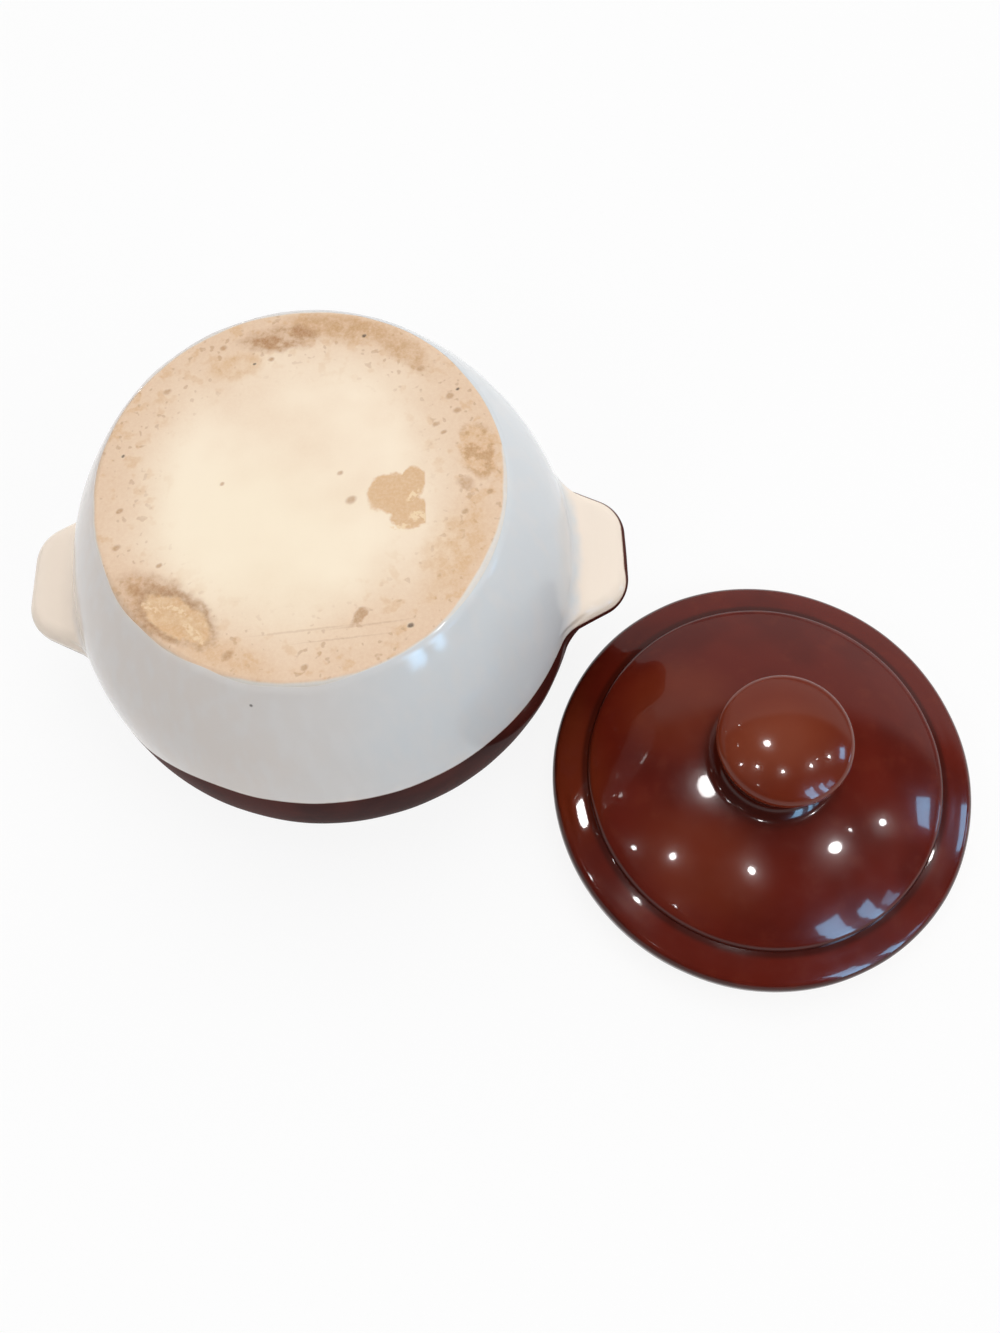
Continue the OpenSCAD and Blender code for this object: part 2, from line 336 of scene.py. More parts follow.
def pot_coat_lines(turn):
    """White and brown outlines (r, h) at each angle: two arrays of columns by rows by 2."""
    traced = trace(turn, GLAZE)
    low_a = math.degrees(math.asin((TRACE_FROM - BELLY_H) / (WALL_ROUND + GLAZE)))
    low = np.concatenate([
        arc(BASE_C, BASE_ROUND + GLAZE, FOOT_FROM, BASE_A, 12)[:-1],
        arc(WALL_C, WALL_ROUND + GLAZE, BASE_A, low_a, 40)[:-1]])
    high_a = math.degrees(math.asin((TRACE_TO - BELLY_H) / (SHOULDER_ROUND + GLAZE)))
    high = np.concatenate([
        arc(SHOULDER_C, SHOULDER_ROUND + GLAZE, high_a, NECK_A, 24),
        arc(NECK_C, NECK_ROUND - GLAZE, 180 + NECK_A, 180, 10),
        [[COLLAR_R + GLAZE, POT_H - LIP_ROUND]]])
    split = glaze_line(turn)
    right = smoothstep(*FOOT_EDGE_FADE, np.cos(turn - FOOT_EDGE_TURN))
    bare = FOOT_EDGE[1] + (FOOT_EDGE[0] - FOOT_EDGE[1]) * right
    foot = low[0, 1] + bare * (1 + edge_waves(turn, FOOT_WAVES))
    lip = POT_H - LIP_ROUND - LIP_BARE - edge_waves(turn, LIP_WAVES)
    white = []
    brown = []
    for i in range(len(turn)):
        column = traced[i]
        column = column[:int(np.argmax(column[:, 1] > TRACE_TO))]
        line = np.concatenate([low, column, high])
        marks = [reach(line, h) for h in (foot[i], EAR_LOW, split[i], EAR_HIGH, lip[i])]
        white.append(np.concatenate([
            along(line, WHITE_ROWS[0] + 1, marks[0], marks[1])[:-1],
            along(line, WHITE_ROWS[1], marks[1], marks[2])]))
        brown.append(np.concatenate([
            along(line, BROWN_ROWS[0] + 1, marks[2], marks[3])[:-1],
            along(line, BROWN_ROWS[1], marks[3], marks[4])]))
    return np.array(white), np.array(brown)


def on_pot(lines, turn, uneven=1.0):
    """An outline (r, h), or one for each angle, as points of the frame."""
    r, h = lines[..., 0], lines[..., 1]
    turn = turn[:, None]
    off = uneven * smoothstep(UNEVEN_TO, 0, h)
    r = r + BASE_OVAL * off * np.cos(2 * (turn - BASE_OVAL_TURN)) * smoothstep(0, BASE_R, r)
    x = POT_AT[0] + BASE_SHIFT[0] * off + r * np.cos(turn)
    y = POT_AT[1] + BASE_SHIFT[1] * off + r * np.sin(turn)
    return np.stack([x, y, POT_H - h + 0 * turn], -1)


def spun(line, turn, axis):
    """An outline (r, z) at each angle about an upright axis, as points of the frame."""
    r, z = line[:, 0], line[:, 1]
    turn = turn[:, None]
    return np.stack([axis[0] + r * np.cos(turn), axis[1] + r * np.sin(turn), z + 0 * turn], -1)


def outward(points, axis):
    """Unit normals of a grid of points (columns, closed round, by rows), away from the axis."""
    round_way = np.roll(points, -1, 0) - np.roll(points, 1, 0)
    up_way = np.gradient(points, axis=1)
    n = np.cross(round_way, up_way)
    n /= np.maximum(np.linalg.norm(n, axis=-1, keepdims=True), TINY)
    middle = points.shape[1] // 2
    away = points[:, middle, :2] - axis
    if (n[:, middle, :2] * away).sum() < 0:
        n = -n
    return n


def kept_rows(count):
    """The rows that a coat's inside keeps, with the first and the last."""
    return sorted(set(range(0, count, INNER_KEEP)) | {count - 1})


def edge_thinning(outer, edge):
    """A coat's thickness, from 0 at the row of its bare edge to 1 further in, rounded like a bead."""
    far = np.linalg.norm(outer - outer[:, [edge]], axis=-1)
    return np.sqrt(np.clip(1 - (1 - np.clip(far / EDGE_THIN, 0, 1)) ** 2, 0, 1))


def shell(outer, normals):
    """Closed loops through a coat's outer rows and back along its inner rows."""
    inner = (outer - normals * (GLAZE - SET_BACK))[:, ::-1]
    return np.concatenate([outer, inner[:, kept_rows(inner.shape[1])]], 1)


def ring_quads(cols, rows, close_rows):
    """Faces of a grid of points, closed round its columns and, where asked, along its rows."""
    c = np.arange(cols)[:, None]
    r = np.arange(rows if close_rows else rows - 1)[None, :]
    c2 = (c + 1) % cols
    r2 = (r + 1) % rows
    return np.stack([c * rows + r, c2 * rows + r, c2 * rows + r2, c * rows + r2], -1).reshape(-1, 4)


def linked(name, data):
    """A new object of the scene."""
    made = bpy.data.objects.new(name, data)
    bpy.context.scene.collection.objects.link(made)
    return made


def make_object(name, points, faces):
    """A closed mesh object from points in millimetres, with its faces turned outwards."""
    faces = [list(map(int, f)) for f in faces]
    halves = faces + [[f[0], f[2], f[3]] for f in faces if len(f) == 4]
    a, b, c = ((points - points.mean(0))[[f[i] for f in halves]] for i in range(3))
    if (a * np.cross(b, c)).sum() < 0:
        faces = [f[::-1] for f in faces]
    mesh = bpy.data.meshes.new(name)
    mesh.from_pydata((points * MM).tolist(), [], faces)
    mesh.shade_smooth()
    mesh.set_sharp_from_angle(angle=SHARP)
    mesh.update()
    return linked(name, mesh)


def spun_object(name, loops):
    """Loops closed round the axis, whose first and last rows are single points on it."""
    cols, rows = loops.shape[:2]
    body = loops[:, 1:-1]
    n = rows - 2
    points = np.concatenate([body.reshape(-1, 3), loops[:1, 0], loops[:1, -1]])
    first, last = cols * n, cols * n + 1
    faces = ring_quads(cols, n, False).tolist()
    for c in range(cols):
        d = (c + 1) % cols
        faces.append([first, d * n, c * n])
        faces.append([last, c * n + n - 1, d * n + n - 1])
    return make_object(name, points, faces)


def tube_object(name, loops):
    """Loops closed along their rows, stacked from the first column to the last, with flat ends."""
    cols, rows = loops.shape[:2]
    points = np.concatenate([loops.reshape(-1, 3), loops[:1].mean(1), loops[-1:].mean(1)])
    grid = ring_quads(cols, rows, True).reshape(cols, rows, 4)[:-1].reshape(-1, 4).tolist()
    start, end = cols * rows, cols * rows + 1
    last = (cols - 1) * rows
    for r in range(rows):
        s = (r + 1) % rows
        grid.append([start, r, s])
        grid.append([end, last + s, last + r])
    return make_object(name, points, grid)


# Marks on the bare base: place from the pot's axis, half sizes, and turn in degrees
YELLOWED = ((-12.0, -16.0), (36.0, 24.0), -30.0)
SCAR_STAIN = ((-38.4, -37.4), (14.6, 7.4), -36.0)
SCAR_RIM = ((-34.6, -41.0), (14.6, 7.2), -34.0)
SCAR = ((-34.2, -41.4), (12.0, 5.2), -34.0)
SCAR_FLAKES = (
    ((-42.4, -36.8), (3.6, 1.0), -30.0),
    ((-28.6, -46.2), (4.4, 1.0), -50.0),
    ((-35.0, -38.6), (6.0, 0.7), -28.0),
)
PATCH = (
    ((29.6, -3.4), (8.0, 6.8), 0.0),
    ((35.4, 0.4), (4.4, 5.6), 0.0),
    ((34.2, -10.2), (5.8, 5.6), 0.0),
)
PATCH_EDGE_X = 39.0
PATCH_FLAKES = (
    ((35.6, -4.6), (2.9, 0.9), 42.0),
    ((36.2, -11.6), (2.8, 2.0), 0.0),
    ((31.6, -15.2), (2.8, 0.8), 8.0),
)
EDGE_PATCH = ((55.4, 9.4), (5.2, 9.2), 8.0)
SMALL_PATCH = ((51.2, -1.8), (3.0, 2.0), -24.0)
FAR_DARK = ((-6.0, 55.6), (12.5, 4.6), 6.0)
FAR_MIDDLE = ((13.0, 58.0), (17.0, 4.6), -10.0)
FAR_RIGHT = ((32.5, 48.5), (13.0, 3.6), -44.0)
FAR_SOFT = ((-20.5, 44.5), (8.5, 4.4), 14.0)
RIGHT_BROWN = ((48.0, -24.0), (7.5, 14.0), -24.0)
LOWER_LEFT = ((-20.0, -54.0), (13.0, 4.0), -20.0)
SMUDGE = ((18.4, -44.0), (3.2, 1.3), 48.0)
SCRATCHES = (
    ((3.6, -47.4), (13.0, 0.35), 4.0),
    ((22.0, -46.6), (12.0, 0.3), 5.0),
    ((14.0, -50.6), (12.0, 0.25), 4.0),
)

# Dots on the base: place and half size
DARK_DOTS = (
    (34.1, -47.6, 0.9), (-54.4, 14.3, 0.55), (50.0, 32.3, 0.6), (20.5, 54.5, 0.7), (-14.7, 45.9, 0.5),
)
PALE_DOTS = (
    (45.2, 16.8, 0.9), (58.8, -4.9, 1.0), (51.0, -11.2, 1.1), (3.5, -59.0, 1.1), (-18.8, -54.0, 1.7),
    (-53.9, -17.5, 1.2), (-40.6, -24.1, 0.9), (-23.0, 2.7, 0.7), (13.2, 4.3, 0.9), (-42.1, 37.1, 1.2),
    (-24.9, 52.7, 1.1), (-9.2, 47.4, 1.0), (-54.0, -5.0, 1.0), (16.6, -5.3, 1.6), (47.5, 29.9, 1.3),
    (49.6, 24.6, 1.2), (42.9, 19.9, 1.1), (38.4, 40.8, 1.2),
)

# Relief of the base: how a mark's edge wanders (size and shift), the size of the roughness in it, and
# depths, as a plain part and what the roughness adds
MARK_WANDER = (9, 1.2)
MARK_ROUGH = 2.6
SCAR_DEPTH = (0.22, 0.16)
PATCH_DEPTH = (0.072, 0.048)
EDGE_PATCH_DEPTH = 0.12
FLAT_DEPTH = (0.02, 0.015)
FLAT_WAVE = 24


def blot(x, y, mark, soft):
    """How far inside an elliptical mark each point is, from 0 to 1."""
    (cx, cy), (half_a, half_b), turn = mark
    c, s = math.cos(math.radians(turn)), math.sin(math.radians(turn))
    u = ((x - cx) * c + (y - cy) * s) / half_a
    v = ((y - cy) * c - (x - cx) * s) / half_b
    return smoothstep(1 + soft, 1 - soft, np.hypot(u, v))


def base_relief(points):
    """Depth of the bare base at each point."""
    x, y = points[..., 0] - POT_AT[0], points[..., 1] - POT_AT[1]
    size, shift = MARK_WANDER
    wander_x = x + shift * ripple(points, size, seed=31)
    wander_y = y + shift * ripple(points, size, seed=32)
    rough = 0.5 + 0.5 * ripple(points, MARK_ROUGH, seed=33)
    scar = blot(wander_x, wander_y, SCAR, soft=0.18) * (SCAR_DEPTH[0] + SCAR_DEPTH[1] * rough)
    patch = np.max([blot(wander_x, wander_y, part, soft=0.15) for part in PATCH], 0)
    patch = patch * smoothstep(PATCH_EDGE_X + 0.5, PATCH_EDGE_X - 0.5, x)
    patch = patch * (PATCH_DEPTH[0] + PATCH_DEPTH[1] * rough)
    edge = EDGE_PATCH_DEPTH * blot(wander_x, wander_y, EDGE_PATCH, soft=0.25)
    flat = FLAT_DEPTH[0] + FLAT_DEPTH[1] * ripple(points, FLAT_WAVE, seed=34)
    return scar + patch + edge + flat


def white_and_brown_coats():
    """The pot's two coats, which meet at the glaze line, with each point's distance from it."""
    turn = pot_columns()
    lines = pot_coat_lines(turn)
    made = []
    for name, line, free_end in (("white_coat", lines[0], 0), ("brown_coat", lines[1], -1)):
        outer = on_pot(line, turn)
        normals = outward(outer, POT_AT)
        thin = edge_thinning(outer, free_end)
        lift = (GLAZE - EDGE_LEFT) * (thin - 1) + ripples(outer, POT_RIPPLES) * thin
        from_line = np.linalg.norm(outer - outer[:, [-1 - free_end]], axis=-1)
        outer = outer + normals * lift[..., None]
        loops = shell(outer, normals)
        piece = make_object(name, loops.reshape(-1, 3), ring_quads(*loops.shape[:2], True))
        inside = np.zeros((len(turn), loops.shape[1] - outer.shape[1]))
        numbers = np.concatenate([from_line, inside], 1).reshape(-1).astype(np.float32)
        piece.data.attributes.new("from_line", "FLOAT", "POINT").data.foreach_set("value", numbers)
        made.append(piece)
    return made


# Clay of the ears: points along an outline, how deep it is rooted in the wall and how thick it is at least
EAR_ROWS = 40
EAR_ROOT = 3.0
EAR_LEAST = 1.0


def ear_core(name, middle):
    """Clay of the ear at an angle about the pot, hidden under the coats."""
    turn = np.radians(np.linspace(-EAR_SPAN, EAR_SPAN, round(2 * EAR_SPAN) + 1))
    traced = trace(turn, -SET_BACK)
    loops = []
    for line in traced:
        start, end = reach(line, EAR_LOW), reach(line, EAR_HIGH)
        face = along(line, EAR_ROWS, start, end)
        below = BELLY_H - face[:, 1].clip(None, BELLY_H)
        wall = WALL_C[0] + np.sqrt((WALL_ROUND - EAR_ROOT) ** 2 - below ** 2)
        back = np.stack([np.minimum(wall, face[:, 0] - EAR_LEAST), face[:, 1]], 1)[::-1]
        loops.append(np.concatenate([face, back]))
    return tube_object(name, on_pot(np.array(loops), turn + middle))


# Points from the middle of the base to the edge of its flat
FLAT_ROWS = 96


def pot_clay():
    """The bare shell: base with its marks, wall under the coats, rim and throat."""
    turn = np.radians(np.arange(0, 360, RING_STEP))
    base = np.stack([np.linspace(0, BASE_C[0], FLAT_ROWS), np.zeros(FLAT_ROWS)], 1)
    line = np.concatenate([
        base[:-1],
        arc(BASE_C, BASE_ROUND, -90, BASE_A, 10),
        arc(WALL_C, WALL_ROUND, BASE_A, 0, 30)[1:] - [SET_BACK, 0],
        arc(SHOULDER_C, SHOULDER_ROUND - SET_BACK, 0, NECK_A, 20)[1:],
        arc(NECK_C, NECK_ROUND, 180 + NECK_A, 180, 6)[1:],
        arc(LIP_C, LIP_ROUND, 0, 90, 8),
        arc(SEAT_C, SEAT_ROUND, 90, 180, 8)])
    hollow = np.concatenate([
        arc(SHOULDER_C, SHOULDER_ROUND - WALL, MOUTH_A, 0, 16),
        arc(WALL_C, WALL_ROUND - WALL, 0, FLOOR_A, 16)[1:],
        arc(FLOOR_C, FLOOR_ROUND, FLOOR_A, -90, 8)[1:],
        [[0, FLOOR_T]]])
    loops = np.concatenate([on_pot(line, turn), on_pot(hollow, turn, uneven=0.0)], 1)
    loops[:, :FLAT_ROWS, 2] -= base_relief(loops[:, :FLAT_ROWS])
    return spun_object("pot_clay", loops)


def crossing(a, a_r, b, b_r):
    """Where circles about a and b cross, on the left of the way from a to b."""
    a, b = np.array(a), np.array(b)
    gap = np.linalg.norm(b - a)
    way = (b - a) / gap
    ahead = (a_r ** 2 - b_r ** 2 + gap ** 2) / (2 * gap)
    return a + ahead * way + math.sqrt(a_r ** 2 - ahead ** 2) * np.array([-way[1], way[0]])


# Centres of the arcs of the lid's outline
BRIM_C = (BRIM_R - BRIM_ROUND, BRIM_Z)
BRIM_LOW_C = (BRIM_R - BRIM_LOW_ROUND, FLANGE_H + BRIM_LOW_ROUND)
BRIM_A = 90 - BRIM_SLOPE
BRIM_TOP_C = tuple(arc(BRIM_C, BRIM_ROUND - BRIM_CROWN, BRIM_A, BRIM_A, 1)[0])
DOME_C = (0.0, DOME_Z - DOME_ROUND)
STEP_X = STEP_R - STEP_ROUND
STEP_C = (STEP_X, DOME_C[1] + math.sqrt((DOME_ROUND - STEP_ROUND) ** 2 - STEP_X ** 2))
STEP_A = angle_to(DOME_C, STEP_C)
GROOVE_C = crossing(STEP_C, STEP_ROUND + GROOVE_ROUND, BRIM_TOP_C, BRIM_CROWN + GROOVE_ROUND)
GROOVE_BRIM_A = angle_to(BRIM_TOP_C, GROOVE_C)
GROOVE_STEP_A = angle_to(STEP_C, GROOVE_C)
FOOT_X = STEM_R + FOOT_ROUND
FOOT_C = (FOOT_X, DOME_C[1] + math.sqrt((DOME_ROUND + FOOT_ROUND) ** 2 - FOOT_X ** 2))
FOOT_A = angle_to(DOME_C, FOOT_C)
CAP_C = (KNOB_R - CAP_ROUND, KNOB_Z)
UNDER_X = STEM_R + UNDER_ROUND
UNDER_C = (UNDER_X, KNOB_Z - math.sqrt((UNDER_ROUND + CAP_ROUND) ** 2 - (UNDER_X - CAP_C[0]) ** 2))
UNDER_A = angle_to(CAP_C, UNDER_C)
CROWN_C = (0.0, KNOB_Z - math.sqrt((CROWN_ROUND - CAP_ROUND) ** 2 - CAP_C[0] ** 2))
CROWN_A = angle_to(CROWN_C, CAP_C)


def lid_line(thick):
    """Outline (r, z) of the lid's top from the brim's lower edge to the middle of the knob's crown."""
    groove = max(GROOVE_ROUND - thick, GROOVE_LEAST)
    return np.concatenate([
        arc(BRIM_LOW_C, BRIM_LOW_ROUND + thick, -90, 0, 8),
        arc(BRIM_C, BRIM_ROUND + thick, 0, BRIM_A, 16),
        arc(BRIM_TOP_C, BRIM_CROWN + thick, BRIM_A, GROOVE_BRIM_A, 16)[1:],
        arc(GROOVE_C, groove, 180 + GROOVE_BRIM_A, 180 + GROOVE_STEP_A, 9)[1:],
        arc(STEP_C, STEP_ROUND + thick, GROOVE_STEP_A, STEP_A, 14)[1:],
        arc(DOME_C, DOME_ROUND + thick, STEP_A, FOOT_A, 52)[1:],
        arc(FOOT_C, FOOT_ROUND - thick, 180 + FOOT_A, 180, 14)[1:],
        arc(UNDER_C, UNDER_ROUND - thick, 180, 180 + UNDER_A, 14),
        arc(CAP_C, CAP_ROUND + thick, UNDER_A, CROWN_A, 22)[1:],
        arc(CROWN_C, CROWN_ROUND + thick, CROWN_A, 90, 30)[1:]])


# A pimple in the glaze of the brim: place from the lid's axis, width and height
PIMPLE = (-45.6, 48.9, 1.0, 0.35)
# A flat place by the groove: angle and distance from the lid's axis, half length, half width, rise across
# and rise along
FLAT_PLACE = (math.radians(190), 66.6, 8.0, 3.4, 0.955, -0.35)
# Glaze that has pooled by the groove: where it starts on the brim and how softly, how it rises inward and
# over what width, and where it thins on the step
POOL_FROM = 67.8
POOL_SOFT = 0.5
POOL_RISE = 0.06
POOL_WIDE = 5.0
POOL_TO = (60.0, 61.8)
# The knob's crown evens out from this distance towards the axis
CROWN_EVEN = 6.0


def lid_coat():
    """The lid's glaze over brim, dome and knob."""
    turn = np.radians(np.arange(0, 360, RING_STEP))
    line = lid_line(GLAZE)
    outer = spun(line, turn, LID_AT)
    normals = outward(outer, LID_AT)
    normals[:, -1] = (0, 0, 1)
    thin = edge_thinning(outer, 0)
    uneven = ripples(outer, LID_RIPPLES) * smoothstep(0, CROWN_EVEN, line[:, 0])
    x, y = outer[..., 0] - LID_AT[0], outer[..., 1] - LID_AT[1]
    r = np.hypot(x, y)
    pimple_x, pimple_y, wide, tall = PIMPLE
    pimple = tall * np.exp(-2 * np.hypot(x - pimple_x, y - pimple_y) ** 2 / wide ** 2)
    angle, middle, half_long, half_wide, rise_across, rise_along = FLAT_PLACE
    across = (r - middle) / half_wide
    around = (np.mod(turn - angle + math.pi, 2 * math.pi) - math.pi)[:, None] * middle / half_long
    flat = (rise_across * across + rise_along * around) * np.exp(-across ** 4 - around ** 4)
    inward = POOL_FROM - r
    rise = np.minimum((np.sqrt(inward ** 2 + POOL_SOFT) + inward) / 2, POOL_WIDE)
    pool = POOL_RISE * rise * smoothstep(*POOL_TO, r)
    lift = (GLAZE - EDGE_LEFT) * (thin - 1) + uneven * thin + pimple + flat + pool
    outer = outer + normals * lift[..., None]
    inner = outer - normals * (GLAZE - SET_BACK)
    inner[:, -1, :2] = LID_AT
    outer[:, -1, :2] = LID_AT
    loops = np.concatenate([outer[:, ::-1], inner[:, kept_rows(inner.shape[1])]], 1)
    return spun_object("lid_coat", loops)


def linear(*rgb):
    """A colour written in 0 to 255 as on a screen, as the shader takes it."""
    c = np.array(rgb) / 255
    low = c / 12.92
    high = ((c + 0.055) / 1.055) ** 2.4
    return tuple(np.where(c <= 0.04045, low, high)) + (1.0,)


class Nodes:
    """A node tree, with short calls for its common nodes."""

    def __init__(self, owner):
        owner.use_nodes = True
        self.tree = owner.node_tree

    def add(self, kind, inputs=None, **settings):
        node = self.tree.nodes.new("ShaderNode" + kind)
        for key, value in settings.items():
            setattr(node, key, value)
        for key, value in (inputs or {}).items():
            self.put(node.inputs[key], value)
        return node

    def put(self, socket, value):
        if isinstance(value, bpy.types.NodeSocket):
            self.tree.links.new(value, socket)
        else:
            socket.default_value = value

    def math(self, operation, a, b):
        return self.add("Math", {0: a, 1: b}, operation=operation).outputs[0]

    def vector(self, operation, a, b=(0, 0, 0), out="Vector"):
        return self.add("VectorMath", {0: a, 1: b}, operation=operation).outputs[out]

    def span(self, value, low, high, to_low=0.0, to_high=1.0):
        """Takes value from low..high to to_low..to_high, smoothly and held at the ends."""
        made = self.add("MapRange", {
            "Value": value, "From Min": low, "From Max": high, "To Min": to_low, "To Max": to_high},
            interpolation_type="SMOOTHSTEP")
        return made.outputs[0]


class Shader(Nodes):
    """A material, with short calls for what the glazes and the clay share."""

    def __init__(self, name):
        self.material = bpy.data.materials.new(name)
        super().__init__(self.material)
        self.surface = self.tree.nodes["Principled BSDF"]
        self.place = self.add("TexCoord").outputs["Object"]

    def set(self, **values):
        for key, value in values.items():
            self.put(self.surface.inputs[key.replace("_", " ")], value)

    def noise(self, size, detail=2.0, rough=0.5, place=None, colour=False):
        """Noise whose blobs are about size millimetres across."""
        made = self.add("TexNoise", {
            "Vector": place or self.place, "Scale": 1 / (size * MM), "Detail": detail, "Roughness": rough})
        return made.outputs["Color" if colour else "Fac"]

    def times(self, a, b):
        return self.math("MULTIPLY", a, b)

    def shaken(self, value, size, shift, detail=2.0):
        """A number with noise added, up to shift where the noise is full."""
        return self.math("ADD", value, self.times(self.noise(size, detail), shift))

    def span_mm(self, length, low, high, to_low=0.0, to_high=1.0):
        """The span of a length in metres, between two in millimetres."""
        return self.span(length, low * MM, high * MM, to_low, to_high)

    def mix(self, share, a, b):
        """A colour between a and b; the mix node has its colour sockets at 6, 7 and 2."""
        return self.add("Mix", {"Factor": share, 6: a, 7: b}, data_type="RGBA").outputs[2]

    def bump(self, height, distance, strength=1.0, below=None):
        inputs = {"Height": height, "Distance": distance * MM, "Strength": strength}
        if below is not None:
            inputs["Normal"] = below
        return self.add("Bump", inputs).outputs[0]

    def parts(self, vector):
        return self.add("SeparateXYZ", {0: vector}).outputs

    def from_axis(self, at):
        """Place relative to a vertical axis, and the distance from it, in metres."""
        near = self.vector("SUBTRACT", self.place, (at[0] * MM, at[1] * MM, 0))
        flat = self.vector("MULTIPLY", near, (1, 1, 0))
        return near, self.vector("LENGTH", flat, out="Value")

    def wandered(self, place, *steps):
        """A place shifted by noise of each (blob size, shift), so that marks get uneven edges."""
        for size, shift in steps:
            push = self.vector("SUBTRACT", self.noise(size, colour=True), (0.5, 0.5, 0.5))
            place = self.vector("ADD", place, self.vector("MULTIPLY", push, [2 * shift * MM] * 3))
        return place

    def whiten(self, share):
        """Takes what the camera and mirrored rays see of the floor part of the way to plain white."""
        path = self.add("LightPath").outputs
        seen = self.most([path["Is Camera Ray"], path["Is Glossy Ray"], path["Is Transmission Ray"]])
        glow = self.add("Emission", {"Color": (1, 1, 1, 1), "Strength": 1.0}).outputs[0]
        both = self.add("MixShader", {
            0: self.times(seen, share), 1: self.surface.outputs[0], 2: glow}).outputs[0]
        self.tree.links.new(both, self.tree.nodes["Material Output"].inputs["Surface"])

    def most(self, shares):
        """The largest of several numbers."""
        whole = shares[0]
        for share in shares[1:]:
            whole = self.math("MAXIMUM", whole, share)
        return whole

    def blot(self, place, mark, soft, strength=1.0):
        """An elliptical stain in plan: 0 outside to strength inside."""
        (cx, cy), (half_a, half_b), turn = mark
        mapped = self.add("Mapping", {
            "Vector": place, "Location": (cx * MM, cy * MM, 0), "Rotation": (0, 0, math.radians(turn)),
            "Scale": (half_a * MM, half_b * MM, 1)}, vector_type="TEXTURE").outputs[0]
        far = self.vector("LENGTH", self.vector("MULTIPLY", mapped, (1, 1, 0)), out="Value")
        return self.span(far, 1 + soft, 1 - soft, 0.0, strength)


# Colours of the bare clay and its stains
PALE = linear(255, 238, 214)
YELLOW = linear(253, 239, 211)
PEACH_DEEP = linear(231, 199, 169)
TAN = linear(220, 177, 131)
FLAKE = linear(242, 214, 176)
BROWN_STAIN = linear(184, 136, 92)
RIM_STAIN = linear(178, 134, 94)
DARK_STAIN = linear(84, 62, 48)
SMEAR = linear(226, 221, 215)

# Where the base deepens towards its edge and where specks start, as distances from the axis
EDGE_TONE = (44.0, 76.0)
EDGE_TONE_NOISE = (26, 24 * MM)
SPECKS_FROM = (36.0, 54.0)

# How the edges of stains and dots wander: blob size and shift
STAIN_WANDER = ((11, 2.4), (3.2, 1.2), (1.1, 0.5))
DOT_WANDER = (2.0, 0.35)
DOT_FLAT = 0.75
DOT_TURN = 30.0

# Stains whose tone is mottled: mark, softness of its edge and strength
TAN_STAINS = (
    (FAR_MIDDLE, 0.4, 1.0), (FAR_RIGHT, 0.5, 0.8), (FAR_SOFT, 0.4, 0.7),
    (RIGHT_BROWN, 0.7, 0.75), (LOWER_LEFT, 0.7, 0.65), (EDGE_PATCH, 0.2, 1.0),
)
BROWN_STAINS = (
    (FAR_DARK, 0.4, 1.0), (FAR_MIDDLE, 0.5, 0.45), (FAR_RIGHT, 0.5, 0.4), (SCAR_STAIN, 0.4, 0.9),
)

# Glaze that has run over the base's edge: distance from the base's middle, heights between which it starts,
# and places where it runs further, with their softness and the extra width
SMEAR_RUN = (64.6, 65.5)
SMEAR_NOISE = (13, 1.6 * MM)
SMEAR_Z = (90.0, 100.0)
SMEAR_WIDE = (
    (((-58.0, -12.0), (7.0, 16.0), 10.0), 0.6, 1.3 * MM),
    (((61.0, -16.0), (14.0, 34.0), -16.0), 0.5, 2.2 * MM),
)


